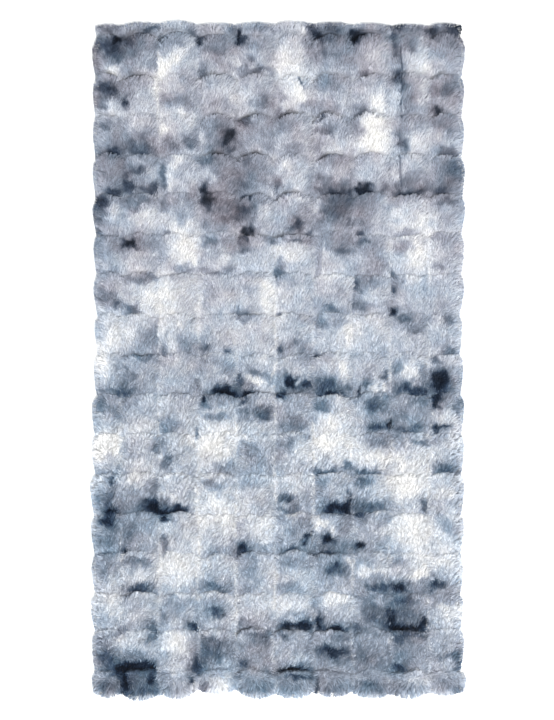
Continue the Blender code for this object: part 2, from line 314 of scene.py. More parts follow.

# The smaller blots, for each row of tufts, their places down counted from its head. They hardly
# run over onto the next row.
# Some dark blots at a row's foot, in the valleys where two arches of the next row meet, are partly dye and
# partly painted shade.
BLOTS_BY_ROW = [[  # row 0
    (58,42,84,60,40), (150,8,60,30,62), (135,40,50,60,60), (160,66,110,34,34,48), (240,40,60,80,72),
    (280,80,30,70,42), (390,60,30,70,42), (410,88,20,64,0), (550,50,80,100,74), (600,60,50,90,28),
    (610,98,34,50,20), (650,50,40,80,38), (712,80,46,75,10), (812,95,36,44,32), (752,70,40,60,36),
    (824,28,70,80,26), (860,40,60,60,45), (910,70,60,80,24), (945,45,30,50,45), (978,40,60,110,24),
    (205,103,40,34,34), (460,45,70,90,54), (575,85,35,90,80), (305,101,34,44,18),
], [  # row 1
    (50,25,100,45,27), (85,8,30,25,5), (122,19,34,30,2), (413,10,18,30,0), (90,50,70,25,34), (72,80,70,38,88),
    (20,65,40,60,56), (255,50,110,26,96,36), (204,80,30,60,98), (150,65,60,50,66), (192,50,34,60,62),
    (292,78,50,50,76), (308,15,20,30,20), (350,38,70,40,47), (350,74,60,38,58), (402,78,34,50,78),
    (420,15,20,20,25), (440,55,25,25,42), (455,88,90,22,36), (550,45,70,90,84), (585,38,28,70,58),
    (622,56,50,34,40), (660,30,70,40,56), (660,76,80,32,58), (702,15,20,30,12), (765,42,60,70,75),
    (848,22,26,24,46), (730,90,25,20,32), (815,35,30,60,40), (888,58,36,70,86), (825,97,38,30,32),
    (935,45,60,34,58), (900,12,30,15,22), (125,42,50,74,44), (15,65,30,50,50), (180,25,60,30,55),
    (245,22,60,22,60), (312,98,35,30,38), (880,15,35,40,74),
], [  # row 2
    (50,35,90,42,28), (60,80,60,30,86), (110,60,15,40,22), (160,70,70,50,74), (198,25,30,60,97),
    (240,22,80,50,78), (838,75,22,60,40), (246,62,90,40,48,-8), (260,97,80,20,82), (330,70,50,30,60),
    (392,40,30,50,84), (374,72,32,40,62), (475,65,50,50,44,-35), (554,45,36,48,99), (556,16,24,10,44,-20),
    (510,85,30,30,42), (502,45,28,50,62), (640,25,70,35,55), (770,60,35,80,95), (820,15,45,30,32),
    (850,66,42,50,50), (950,38,60,35,42), (930,90,35,22,10), (525,98,25,10,18,30), (710,95,25,12,25,25),
    (28,72,54,34,44), (888,40,44,60,80), (808,56,32,60,80), (950,65,60,25,64), (620,76,130,34,55),
    (465,88,50,20,62), (728,90,50,36,36), (572,72,34,36,60),
], [  # row 3
    (615,0,25,10,22,30), (40,20,70,30,42), (62,95,80,28,16), (150,15,80,30,76), (158,52,56,28,46),
    (285,0,40,60,86), (155,80,100,38,33), (210,30,25,50,96), (255,30,60,40,80), (285,68,30,38,42,35),
    (350,12,80,20,57), (315,50,30,40,78), (222,84,64,40,46), (370,64,80,50,50), (388,50,60,28,16,38),
    (390,88,25,20,34), (450,35,70,30,55), (545,70,70,44,66), (478,66,44,44,56), (592,50,40,40,74),
    (545,85,60,34,54), (622,84,40,40,50), (630,35,60,30,42), (660,75,70,30,76), (750,20,55,50,99),
    (746,64,68,55,99), (702,32,34,50,70), (830,95,18,12,12), (845,66,60,64,92), (950,28,80,35,53),
    (955,90,70,25,34), (430,98,30,12,25), (630,98,35,12,28), (712,25,25,40,52), (265,10,70,25,80),
    (420,8,40,25,36), (835,45,45,70,52), (834,72,22,45,40),
], [  # row 4
    (65,92,80,30,22), (140,45,70,15,32,15), (182,55,40,50,76), (120,82,46,34,22), (175,92,50,20,32),
    (250,15,40,25,94,30), (232,55,20,66,92,8), (218,68,26,44,40), (215,40,20,50,38), (315,92,40,30,10),
    (330,55,50,20,74,-35), (360,40,44,30,48), (430,42,50,35,46), (410,75,40,30,38), (530,25,32,35,95),
    (560,70,60,40,77), (500,95,20,25,24), (650,85,80,25,18), (622,62,40,50,40), (732,87,52,23,2),
    (790,88,30,20,38), (850,90,80,20,16), (845,66,44,40,42), (930,90,50,25,26), (955,45,95,90,42),
    (850,20,70,30,76), (735,58,80,40,76), (812,40,40,50,72), (325,12,50,25,42), (420,15,35,30,36),
    (505,74,44,50,42), (462,50,40,40,56), (735,2,60,35,68), (75,25,60,40,62), (150,20,70,20,64),
    (195,85,30,30,28), (595,50,25,50,62), (875,20,60,40,80), (870,46,40,34,56),
], [  # row 5
    (420,2,35,15,14), (30,20,60,45,24), (22,52,50,50,40), (84,45,50,38,80), (20,95,40,20,36),
    (150,15,80,20,44), (176,56,84,38,84), (212,74,60,40,76), (214,30,40,30,50), (260,30,60,30,67),
    (250,88,60,36,92), (268,60,50,36,62), (215,92,30,20,42), (330,15,50,25,30), (362,22,80,22,47),
    (358,58,50,30,38), (415,45,80,38,30,15), (425,18,80,16,50), (430,88,35,28,10,30), (320,75,20,30,50),
    (352,74,50,34,52), (478,48,56,50,76), (520,2,30,22,46), (555,8,60,12,82), (560,72,40,28,28,25),
    (590,95,35,15,30), (660,15,70,30,39), (660,42,70,35,35), (695,72,25,25,40), (720,92,20,20,26,30),
    (816,45,34,30,90), (840,94,60,26,46), (806,72,34,34,72), (882,45,34,66,92), (855,35,70,50,78),
    (950,25,70,25,46), (955,56,70,34,66), (750,60,50,40,70), (318,15,35,50,20), (385,6,50,18,60),
    (125,30,50,34,50), (600,25,44,50,78), (735,62,40,40,48), (780,36,34,50,74), (744,40,34,40,54),
], [  # row 6
    (140,20,55,26,0,-15), (24,20,50,34,58), (36,55,50,26,50), (80,60,40,30,70), (172,18,60,26,58),
    (150,62,95,60,71), (50,95,90,20,54), (265,30,60,50,98), (275,72,50,40,94), (250,88,80,20,55),
    (335,20,50,20,40), (315,60,30,40,84), (350,96,110,22,46), (420,10,30,20,24), (372,65,44,26,82),
    (325,65,40,50,68), (455,65,80,44,72), (510,40,70,40,92), (560,10,60,10,36), (513,90,32,50,34),
    (570,40,50,30,78), (662,22,50,36,60), (680,36,45,32,38,10), (640,55,20,40,80), (730,12,40,20,34),
    (762,36,50,50,60), (775,74,44,50,56), (870,50,50,80,97), (810,92,20,25,38), (925,80,30,20,48),
    (420,25,40,35,42), (495,12,50,20,48), (618,65,34,60,60), (725,55,40,35,66), (838,30,50,44,58),
    (930,8,50,30,57), (550,42,80,35,86), (60,72,70,35,68),
], [  # row 7
    (48,58,80,44,42), (36,26,60,34,66), (95,75,35,20,38), (158,8,100,26,50), (213,-35,36,60,66),
    (125,85,50,30,36), (210,62,125,62,98), (195,90,60,20,88), (266,62,60,50,72), (340,50,60,50,64),
    (375,25,30,20,78), (405,96,70,30,34), (420,58,40,50,76), (482,45,34,80,98), (440,42,34,50,64),
    (510,95,20,15,34,25), (655,86,60,24,40), (590,55,60,50,76), (650,5,70,20,88), (715,72,20,30,18,-30),
    (706,90,16,24,99), (714,75,60,44,44), (722,32,28,20,10,-30), (748,43,45,14,34), (740,26,50,26,44),
    (698,20,30,40,82), (508,4,30,30,54), (745,55,40,30,74), (813,33,20,38,20,-20), (802,85,30,25,8),
    (845,82,60,34,68), (855,8,60,25,90), (935,76,50,40,62), (380,42,60,50,72), (655,50,60,40,66),
    (765,45,70,45,78), (820,8,40,30,53), (870,50,70,40,70),
], [  # row 8
    (80,62,70,60,97), (28,35,56,60,68), (30,85,60,30,90), (165,80,100,40,64), (205,80,30,35,40),
    (118,50,44,60,84), (184,42,44,56,54), (254,36,50,44,92), (266,68,58,50,56), (325,82,30,25,34),
    (385,88,20,25,30,-20), (420,6,70,20,50), (450,50,60,40,72), (490,85,18,25,92), (510,88,30,25,24),
    (555,78,40,20,44), (498,66,40,40,76), (560,35,60,30,64), (590,52,100,44,76), (615,96,25,12,22,25),
    (615,18,40,30,42), (692,45,22,80,94), (660,90,50,20,84), (830,12,50,20,38), (865,35,60,30,46),
    (932,62,60,34,66), (962,93,50,28,44), (960,12,20,20,44), (50,12,80,25,76), (235,65,25,80,82),
    (330,55,50,30,68), (665,15,60,25,62),
], [  # row 9
    (30,30,60,70,96), (165,4,80,20,44,-10), (68,62,54,34,76), (125,50,50,30,48), (104,92,76,28,28),
    (40,95,60,20,46), (250,35,70,40,74), (370,50,60,40,76), (368,86,78,34,7,-5), (425,92,40,30,6),
    (405,55,15,35,30), (385,30,44,34,54), (302,35,34,30,56), (450,60,60,16,97,-25), (450,38,60,15,46,-20),
    (497,40,40,8,90,40), (535,60,40,20,10,-40), (516,94,26,20,10), (580,72,35,30,26), (638,74,75,42,36),
    (680,78,40,34,36), (650,97,90,10,16), (685,40,28,60,97), (722,88,10,35,4), (745,70,30,40,42),
    (768,85,30,22,97), (790,60,15,30,32), (847,47,60,42,94), (845,86,80,26,27), (930,60,60,54,14),
    (882,48,30,50,50), (910,10,50,20,40), (340,12,80,25,58), (322,72,40,34,70), (570,45,60,34,78),
    (478,84,50,32,80), (818,32,40,40,46), (885,94,45,35,27),
], [  # row 10
    (510,2,35,20,8), (30,20,60,44,40), (84,40,60,36,52), (118,18,44,36,44), (225,75,50,36,50),
    (465,78,90,44,86), (100,85,140,25,86), (250,30,70,30,68), (315,10,20,15,6), (320,25,35,15,36),
    (350,30,30,20,80), (350,50,70,15,50), (415,12,30,15,12), (463,44,50,42,34), (425,40,30,30,70,30),
    (365,82,70,35,90), (550,70,65,35,48), (555,40,60,25,66), (620,35,50,12,34,-10), (650,70,50,45,97),
    (600,60,40,50,62), (670,20,50,30,76), (752,32,42,32,30,40), (785,50,35,20,70), (762,82,58,26,32),
    (793,80,18,40,8), (820,18,60,44,62), (716,14,40,30,48), (870,45,35,30,62), (880,12,70,30,38),
    (920,20,32,44,6,-15), (850,88,80,25,36), (910,92,18,25,6), (940,66,80,40,84), (985,32,34,50,42),
    (935,90,40,12,26,10), (160,30,90,45,66), (415,38,45,30,46), (525,62,40,40,60), (620,25,50,35,44),
    (720,30,25,30,62), (768,18,45,25,40), (855,62,70,35,62),
], [  # row 11
    (45,35,90,60,99), (190,38,40,25,34,-20), (215,70,30,50,46,-15), (160,75,50,30,78), (250,35,70,40,75),
    (352,38,76,70,99), (320,70,40,40,86), (365,82,60,35,58), (432,32,60,40,50), (430,115,40,60,62),
    (525,30,60,44,46), (575,6,50,26,58), (570,45,50,30,84), (660,30,120,40,97), (740,60,80,35,96,-10),
    (770,12,70,35,44), (612,92,44,22,42), (664,62,60,36,84), (636,96,50,18,40), (690,78,25,25,46),
    (730,95,80,20,40), (855,78,70,50,96), (880,15,50,20,44), (945,86,60,30,40), (64,94,76,22,52),
    (62,60,80,40,90), (75,25,80,70,96), (70,62,60,30,80), (200,22,40,54,50), (128,38,44,50,64),
    (148,84,60,36,84), (670,45,50,32,88), (772,68,60,38,92), (925,15,50,35,57),
], [  # row 12
    (70,15,30,12,24), (50,58,60,44,38), (92,62,34,50,66), (62,97,60,35,10), (150,30,70,40,70),
    (175,78,60,45,6), (208,98,50,30,3), (250,82,50,28,16,10), (135,82,40,25,50), (230,50,60,20,84,-30),
    (350,72,60,50,99), (340,20,70,25,52), (455,38,60,40,72), (530,58,50,18,36), (540,88,70,25,40),
    (645,85,50,28,10), (685,72,30,60,8), (750,80,80,30,38), (725,15,50,35,37), (840,30,90,65,98),
    (885,78,35,30,38), (950,45,70,34,88), (155,10,90,36,84), (620,20,45,45,50), (130,55,50,30,62),
    (178,30,35,45,46), (602,75,40,50,68), (664,46,40,50,70),
], [  # row 13
    (715,0,40,25,16), (50,15,60,30,8), (50,56,80,50,50), (60,96,120,26,46), (110,88,15,25,12),
    (125,35,50,30,48), (210,10,40,15,8), (210,70,25,40,44), (260,40,70,60,74), (330,15,40,25,84),
    (412,22,40,36,56), (456,30,76,34,89), (420,82,35,35,16), (350,85,60,20,60), (615,68,100,22,52),
    (586,57,40,15,4,35), (622,22,36,34,98), (645,60,36,28,4), (576,28,36,44,52), (655,40,30,20,90,-30),
    (715,82,28,25,6), (720,20,25,30,42), (755,50,60,50,70), (805,28,34,40,72), (735,102,70,30,58),
    (545,92,40,20,30,20), (630,95,50,15,28), (840,40,90,80,95), (960,30,60,40,60), (525,15,40,35,56),
    (678,30,32,40,50), (550,42,50,28,60), (780,18,40,30,56), (935,85,60,40,92), (918,5,40,44,60),
    (110,50,50,65,47), (295,72,50,44,90), (482,45,35,50,86),
], [  # row 14
    (40,70,70,40,76), (140,15,90,25,42), (150,50,95,24,84), (150,82,80,25,28), (250,40,90,60,92),
    (342,82,88,32,42), (385,30,40,40,78), (440,12,44,30,44), (540,20,70,25,46), (650,35,50,35,24),
    (690,25,20,30,88), (760,42,90,15,90,8), (775,76,68,26,30), (575,60,90,50,80), (815,82,40,30,14),
    (870,45,70,28,99,15), (920,70,60,30,24), (820,20,50,30,52), (950,20,60,30,88), (50,25,90,60,49),
    (430,35,50,65,55), (498,66,34,60,82), (430,90,50,28,56), (530,82,60,28,60), (668,50,35,30,36),
    (728,43,40,22,86), (72,60,40,60,84),
], [  # row 15
    (120,0,35,15,30), (765,2,60,22,48), (80,30,50,40,92), (120,20,90,30,66), (130,60,60,30,76),
    (180,92,35,20,18), (100,90,30,25,38), (210,55,25,30,38), (295,80,40,35,24,-30), (350,50,50,20,30),
    (420,75,35,30,52), (450,95,60,15,40), (550,35,90,35,88), (560,80,95,28,12,5), (615,70,36,40,12),
    (660,90,60,20,8), (668,14,90,36,92), (692,48,34,44,76), (605,30,25,50,50), (745,25,30,35,30),
    (760,55,35,30,34), (780,20,35,25,74), (800,60,28,70,6), (845,83,100,22,0), (890,62,15,42,8),
    (845,62,50,30,46), (840,16,60,28,30), (888,34,44,44,60), (955,45,60,50,92), (914,60,22,60,77),
    (245,20,80,35,60), (180,80,50,30,42), (242,68,50,36,82), (720,82,30,25,34), (760,40,50,55,42),
    (735,15,40,40,50), (950,12,90,30,52),
], [  # row 16
    (50,60,50,50,34), (130,30,80,34,78), (90,2,50,14,46), (185,2,44,12,46), (180,12,30,25,38),
    (120,85,60,26,8), (160,82,40,25,16), (178,96,30,32,5), (85,92,50,18,8), (235,30,55,55,92),
    (295,74,40,45,16), (335,3,60,16,38), (430,4,40,16,46), (345,50,80,50,40), (350,12,60,25,38),
    (420,20,30,30,74), (460,20,50,35,46), (415,80,25,30,32), (492,50,12,80,78), (524,3,36,18,30),
    (510,50,50,60,70), (558,92,90,14,6,5), (570,60,70,30,76), (540,40,40,20,72), (640,12,60,25,64),
    (650,42,90,28,24), (665,6,50,16,42), (660,78,90,24,68), (720,60,50,40,42), (850,2,90,16,24),
    (825,12,38,28,27), (735,2,40,14,46), (830,85,50,15,24), (840,50,70,25,54), (960,55,70,14,38,5),
    (990,75,15,30,28), (950,25,60,30,68), (340,25,80,40,40), (460,5,60,20,37), (240,80,50,50,80),
    (365,72,80,34,72), (460,88,60,22,64), (880,92,40,35,78), (985,70,30,90,42),
], [  # row 17
    (80,4,40,20,20), (400,4,40,16,36), (570,4,90,14,22), (730,2,40,14,48), (108,35,26,90,2),
    (180,20,30,50,10), (155,68,90,50,36), (50,50,70,70,42), (235,40,60,70,64), (280,15,20,40,18,20),
    (365,45,60,75,96), (305,70,30,30,34), (490,50,20,30,30), (550,50,80,60,50), (605,40,14,60,24,-10),
    (740,40,60,50,40), (875,25,50,40,78), (930,40,40,40,64), (985,60,25,40,40), (440,60,60,50,52),
    (30,15,40,30,62), (315,50,30,60,48), (405,30,35,50,56), (475,50,40,50,48), (950,40,80,80,52),
]]
BLOTS = [
    Stain(column, 100 * row + down, *rest)
    for row, blots in enumerate(BLOTS_BY_ROW)
    for column, down, *rest in blots
]

# The lines between columns that part the pile, from a place in the rows down to another.
Parting = namedtuple("Parting", "column head foot tone")
PARTINGS = [Parting(*parting) for parting in [
    (1.97,1.4,3.2,0.98), (0.97,5.2,6.3,0.80), (6.27,6.1,6.8,0.84), (5.02,8.2,8.7,0.95), (9.02,5.9,7.2,0.95),
    (3.04,15.9,16.4,0.80), (4.96,15.8,17.2,0.76), (6.02,15.9,16.9,0.74), (9.03,16.1,17.2,0.82),
    (2.02,17.0,17.9,0.74), (7.02,15.9,16.3,0.80), (3.1,7.2,7.9,0.84), (4.1,8.1,8.9,0.80),
    (7.0,14.2,15.0,0.82), (4.95,12.2,12.9,0.80), (8.27,1.2,2.4,0.12), (8.29,2.5,3.1,0.10),
    (8.27,4.0,4.8,0.20), (2.98,10.8,11.15,0.10), (6.25,6.3,7.0,0.86), (2.28,8.2,9.1,0.86),
]]


def to_linear(value):
    return np.where(value < 0.04045, value / 12.92, ((value + 0.055) / 1.055) ** 2.4)


def oval(stain, across, along):
    """How far places are from a stain's middle, 1 at its rim."""
    c, d = math.cos(math.radians(stain.turn)), math.sin(math.radians(stain.turn))
    return np.hypot((across * c - along * d) * 200 / stain.wide, (across * d + along * c) * 200 / stain.long)


def near_stain(across, along, reach):
    return np.flatnonzero(np.maximum(np.abs(across), np.abs(along)) < reach)


def stained(tone, place, u, v):
    """The tone with all the washes and then the blots laid over it, at u, v on those places' tufts."""
    for wash in WASHES:
        across, along = u - wash.column / 100, v - wash.row / 100
        near = near_stain(across, along, max(wash.wide, wash.long) / 100)
        far = oval(wash, across[near], along[near])
        tone[near] = mix(tone[near], wash.tone / 100, WASH_STRENGTH * np.exp(-far * far))
    for blot in BLOTS:
        across = u - blot.column / 100 + NEXT_COLUMN * (place.column - blot.column // 100)
        along = v - blot.row / 100 + NEXT_ROW * (place.row - blot.row // 100)
        near = near_stain(across, along, 0.016 * max(blot.wide, blot.long))
        far = oval(blot, across[near], along[near])
        core = BLOT_CORE / (1 + np.exp((far - BLOT_RIM) * BLOT_SHARPNESS))
        halo = BLOT_HALO * np.exp(-(far / HALO_REACH) ** 2)
        tone[near] = mix(tone[near], blot.tone / 100, core + halo)
    return tone


def parted(tone, place, x, y, v):
    """The tone with the light lines between columns, and the partings that are charted."""
    beside = np.minimum(place.s, 1 - place.s) * WIDTH / COLUMNS
    light = smooth(v, 5.5, 9) * (1 - smooth(beside, 0.0, 0.004)) * smooth(cloud(x, y, 0.05, 39), -0.5, 0.6)
    tone = tone + COLUMN_LINE * light
    bent_x = clouded(x, x, y, (0.004, 0.025, 36))
    wide = clouded(0.0035, x, y, (0.0015, 0.02, 38))
    for parting in PARTINGS:
        beside = np.abs(bent_x - np.interp(parting.column, range(COLUMNS + 1), COLUMN_LINES))
        begun = smooth(v, parting.head - 0.15, parting.head + 0.15)
        done = smooth(v, parting.foot - 0.15, parting.foot + 0.15)
        shown = PARTING_SHARE * begun * (1 - done)
        tone = mix(tone, parting.tone, shown * (1 - smooth(beside, 0.0, wide)))
    return tone


def dye_tone(place, x, y):
    """How light the pile is at x, y on the tufts of those places, from navy at 0 to white at 1: mostly its
    dye, with painted shade in some valleys between arches.
    """
    u = tufts_across(x) + 0.05 * TUFT_SHIFT[place.row, place.column, 0]
    v = tufts_down(y, DYE_LINES) + 0.05 * TUFT_SHIFT[place.row, place.column, 1]

    # The stains' rims are bent by clouds of three sizes, and the dye is uneven at four more.
    bent_u = clouded(u, x, y, (0.05, 0.045, 31), (0.08, 0.018, 32), (0.06, 0.008, 35))
    bent_v = clouded(v, x, y, (0.05, 0.045, 33), (0.08, 0.018, 34), (0.06, 0.008, 37))
    tone = clouded(mix(0.69, 0.75, smooth(v, 6, 12)), x, y, (0.05, 0.070, 21), (0.05, 0.035, 22))
    tone = clouded(stained(tone, place, bent_u, bent_v), x, y, (0.05, 0.014, 23), (0.05, 0.0055, 24))
    # In rows towards the foot end each tuft is lighter at its head and darker at its foot; towards the head
    # end, more weakly, the other way round.
    tone = tone + mix(-0.025, 0.04, smooth(v, 6, 11)) * np.cos(math.pi * place.t)
    return np.clip(parted(tone, place, x, y, v), 0, 1)


def palette_colour(shades, tone):
    tones, *channels = zip(*shades)
    return np.stack([np.interp(tone, tones, channel) for channel in channels], axis=-1)


def dye_colour(x, y, tone):
    """The dye's colour, between steel blue and a warmer lavender grey."""
    v = tufts_down(y, ROW_LINES)
    warmth = clouded(mix(0.66, 0.34, smooth(v, 5, 11)), x, y, (0.30, 0.05, 61), (0.25, 0.02, 62))
    warmth = warmth - mix(0.15, 0.35, smooth(v, 5, 8)) * (1 - smooth(tone, 0.2, 0.6))
    share = np.clip(warmth, 0, 1)[:, None]
    return to_linear(mix(palette_colour(COOL, tone), palette_colour(WARM, tone), share))


def crease_shade(place):
    """How much painted shade a place gets, deep in the crease in front of the next tuft down."""
    depth = crease_depth(place.x, place.y, place.row, place.column, place.s, place.t)
    before_next = (1 - place.t) * row_length(place.row)
    length = 0.0030 + 0.0060 * depth + np.where(place.row == 0, 0.0045, 0)
    darkness = np.minimum(1, 1.4 * depth) * smooth(place.inward, 0.0, 0.03)
    return (1 - smooth(before_next, length - 0.003, length)) * darkness


# ---- meshes


def new_object(name, data):
    thing = bpy.data.objects.new(name, data)
    bpy.context.scene.collection.objects.link(thing)
    return thing


def mesh_piece(name, points, faces, corners, attributes):
    """A piece from arrays: its points, its faces' point numbers and their number of corners.

    Its map is the plan from straight above, with a little room round it.
    """
    mesh = bpy.data.meshes.new(name)
    mesh.vertices.add(len(points))
    mesh.vertices.foreach_set("co", points.astype(np.float32).ravel())
    mesh.loops.add(len(faces))
    mesh.loops.foreach_set("vertex_index", faces.astype(np.int32))
    starts = np.concatenate([[0], np.cumsum(corners)[:-1]]).astype(np.int32)
    mesh.polygons.add(len(corners))
    mesh.polygons.foreach_set("loop_start", starts)
    mesh.update(calc_edges=True)
    for key, values in attributes.items():
        if values.ndim == 2:
            layer = mesh.color_attributes.new(key, "FLOAT_COLOR", "POINT")
            colours = np.concatenate([values, np.ones((len(values), 1))], axis=1)
            layer.data.foreach_set("color", colours.astype(np.float32).ravel())
        else:
            layer = mesh.attributes.new(key, "FLOAT", "POINT")
            layer.data.foreach_set("value", values.astype(np.float32))
    low, high = points.min(0), points.max(0)
    uv = 0.02 + 0.96 * (points - low)[:, :2] / max((high - low)[:2])
    layer = mesh.uv_layers.new(name="OFBake")
    layer.data.foreach_set("uv", uv[faces].astype(np.float32).ravel())
    return new_object(name, mesh)


# ---- the long pile

STRANDS = 97000  # in each band of pile
STRAND_WIDTH = 0.0011
STRAND_LENGTH = 0.012
LOW_STRAND_LENGTH = 0.013  # towards the foot end
ROOT_DEPTH = 0.003  # how deep in the underwool a strand starts
LOWEST = 0.0006  # how near the floor a strand may come
HIGHEST = CROWN + 0.003

# The way the strands lie, seen from above, in radians from the head towards the right.
FAN = math.radians(48)  # how far a tuft's outer strands turn outwards at its head
SWEEP = math.radians(9)  # how far the whole pile turns
TUFT_SWAY = math.radians(7)
STRAND_SWAY = 0.20
SIDE_TURN = 2.2  # how strongly the strands at the rug's sides turn outwards, against 1 for their own way
FOOT_TURN = 2.6  # the same at its foot end
FOOT_FAN = 0.9

# Degrees above the floor of a strand's lower and upper half, and how much they vary.
STAND = 62, 9
BEND = 32, 14

LOCK_SIZES = 0.0032, 0.0042  # a fine lock's width and a coarse lock's
LOCK_SHAPE = 2.2  # how much longer than wide a lock is
LOCK_LEAN = 0.45  # the locks' direction, in radians from the head towards the right


def nearest_lock(x, y, size, seed):
    """For each place its way to the middle line of its lock, how near it is to the next lock, and the
    lock's three random shares. Locks are longer along the way the pile lies than they are wide."""
    draw = np.random.default_rng(77 + seed)
    jitter, luck = draw.uniform(0.1, 0.9, (CELLS, CELLS, 2)), draw.random((CELLS, CELLS, 3))
    c, d = math.cos(LOCK_LEAN), math.sin(LOCK_LEAN)
    across = (x * c - y * d + 0.002 * cloud(x, y, 0.012, 49)) / size
    along = (x * d + y * c + 0.002 * cloud(x, y, 0.012, 50)) / size / LOCK_SHAPE
    i, j = np.floor(across).astype(int), np.floor(along).astype(int)
    first, second = np.full(len(x), 9.0), np.full(len(x), 9.0)
    shift, fate = np.zeros((len(x), 2)), np.zeros((len(x), 3))
    for di in (-1, 0, 1):
        for dj in (-1, 0, 1):
            cell = (i + di) % CELLS, (j + dj) % CELLS
            step = np.stack([i + di - across, j + dj - along], axis=-1) + jitter[cell]
            far = np.hypot(step[:, 0], step[:, 1])
            nearer = far < first
            second = np.where(nearer, first, np.minimum(second, far))
            first[nearer], shift[nearer], fate[nearer] = far[nearer], step[nearer], luck[cell][nearer]
    return shift[:, :1] * size * np.array([[c, -d]]), second - first, fate


def strand_roots(head, foot, draw):
    """The places of a band's strands, one anywhere in each cell of an even grid."""
    cell = math.sqrt(WIDTH * (head - foot) / STRANDS)
    wide, long = int(WIDTH / cell), int((head - foot) / cell)
    i, j = np.meshgrid(np.arange(wide), np.arange(long))
    a = (i.ravel() + draw.random(i.size)) / wide
    b = (j.ravel() + draw.random(i.size)) / long
    return spot(tufts_across(COLUMN_LINES[0] + a * WIDTH), tufts_down(head - b * (head - foot), ROW_LINES))


def foot_fringe(root, draw):
    """How much each strand belongs to the foot end's fringe, whose strands lie outwards."""
    shift = 0.014 * cloud(root.x, root.y, 0.012, 43) + draw.normal(0, 0.006, len(root.x))
    return smooth(-(root.y - ROW_LINES[-1]) + shift, -0.064, -0.020)


def turned(way, turn):
    """Ways seen from above, each turned towards the right by its own angle."""
    c, d = np.cos(turn), np.sin(turn)
    return np.stack([way[:, 0] * c + way[:, 1] * d, way[:, 1] * c - way[:, 0] * d], axis=-1)


def strand_ways(root, low_half, draw):
    """The way each strand lies, seen from above, and how much it belongs to the foot end's fringe."""
    fan = 2 * root.s - 1
    heading = FAN * fan * (1 - 0.75 * root.t) + SWEEP
    heading = heading + TUFT_SWAY * TUFT_TURN[root.row, root.column]
    wide_sway, narrow_sway = np.radians(mix(16, 36, low_half)), np.radians(mix(10, 26, low_half))
    heading = clouded(heading, root.x, root.y, (wide_sway, 0.024, 41), (narrow_sway, 0.010, 42))
    heading = heading + draw.normal(0, STRAND_SWAY, len(root.x))
    way = np.stack([np.sin(heading), np.cos(heading)], axis=-1)
    left = smooth(-(root.x - COLUMN_LINES[0]), -0.050, -0.004)
    right = smooth(-(COLUMN_LINES[-1] - root.x), -0.040, -0.004)
    bottom = foot_fringe(root, draw)
    way[:, 0] += SIDE_TURN * (right - left)
    way[:, 0] += FOOT_FAN * fan * bottom
    way[:, 1] -= FOOT_TURN * bottom
    return way / np.linalg.norm(way, axis=1, keepdims=True), bottom


def gather(root, low_half, draw):
    """Each strand's pull into its small pointed lock, its gap to the next lock, and the lock's luck."""
    fine, coarse = [nearest_lock(root.x, root.y, size, number) for number, size in enumerate(LOCK_SIZES)]
    coarsely = draw.random(len(root.x)) < low_half
    pull = np.where(coarsely[:, None], coarse[0], fine[0]) * mix(0.45, 0.75, low_half)[:, None]
    gap = np.where(coarsely, coarse[1], fine[1])
    luck = np.where(coarsely[:, None], coarse[2], fine[2])
    return pull, gap, luck


def within_outline(places, slack, point):
    """Those places, moved in where they lie farther than the slack outside the rug's outline."""
    x, y = places[:, 0], places[:, 1]
    u, v = tufts_across(x), tufts_down(y, ROW_LINES)
    column, row = np.minimum(u.astype(int), COLUMNS - 1), np.minimum(v.astype(int), ROWS - 1)
    left = COLUMN_LINES[0] + inset("left", row, v - row) - slack
    right = COLUMN_LINES[-1] - inset("right", row, v - row) + slack
    head = ROW_LINES[0] - inset("head", column, u - column) + slack
    foot = ROW_LINES[-1] + inset("foot", column, u - column) - slack - point
    return np.stack([np.clip(x, left, right), np.clip(y, foot, head), places[:, 2]], axis=-1)


def strand_points(root, low_half, way, bottom, pull, luck, draw):
    """Where each strand starts, bends and ends. It is cut short where it would reach too far."""
    count = len(root.x)
    length = mix(STRAND_LENGTH, LOW_STRAND_LENGTH, low_half)
    length = length * draw.uniform(0.7, 1.2, count) * mix(0.8, 1.2, luck)
    length = length * (1 + 0.25 * bottom)
    edge = smooth(-root.inward, -0.035, -0.005)
    lip = 1 - smooth(root.t, 0.02, 0.2)

    # A strand lies flatter near the rug's edge, and its upper half at its tuft's head.
    rise = np.radians(draw.normal(*STAND, count) - 25 * edge)
    bend = np.radians(draw.normal(*BEND, count) - 14 * lip - 50 * edge)

    # It may pass its own tuft's head only a little, and the rug's outline by its slack.
    reach = 0.5 * length * (np.cos(rise) + np.cos(bend)) * np.clip(way[:, 1], 0.2, 1)
    pitch = head_line(root.row, root.column, root.s) - head_line(root.row + 1, root.column, root.s)
    room = root.t * pitch + 0.0022 + 0.004 * (luck - 0.5) + np.where(root.row == 0, 0.004, 0)
    length = length * np.clip(room / reach, 0.35, 1)
    flat_reach = 0.5 * length * (np.cos(rise) + np.cos(bend))
    slack = 0.0040 + 0.0015 * luck + draw.uniform(0, 0.001, count)
    point = 0.009 * (1 - np.abs(2 * root.s - 1) ** 1.2) - 0.004
    past_side = (root.side + slack) / (flat_reach * np.clip(way[:, 0] * np.sign(root.x), 0.05, 1))
    past_foot = (root.foot + slack + point) / (flat_reach * np.clip(-way[:, 1], 0.05, 1))
    length = length * np.clip(np.minimum(past_side, past_foot), 0.3, 1)

    start = np.stack([root.x, root.y, root.height - FUZZ - ROOT_DEPTH], axis=-1)
    half = length[:, None] * 0.5
    ends = []
    place = start
    for angle, share in ((rise, 0.35), (bend, 0.65)):
        place = place.copy()
        place[:, :2] += half * np.cos(angle)[:, None] * way + share * pull
        place[:, 2] += half[:, 0] * np.sin(angle)
        ends.append(place)
    return start, *[within_outline(end, slack, point) for end in ends]


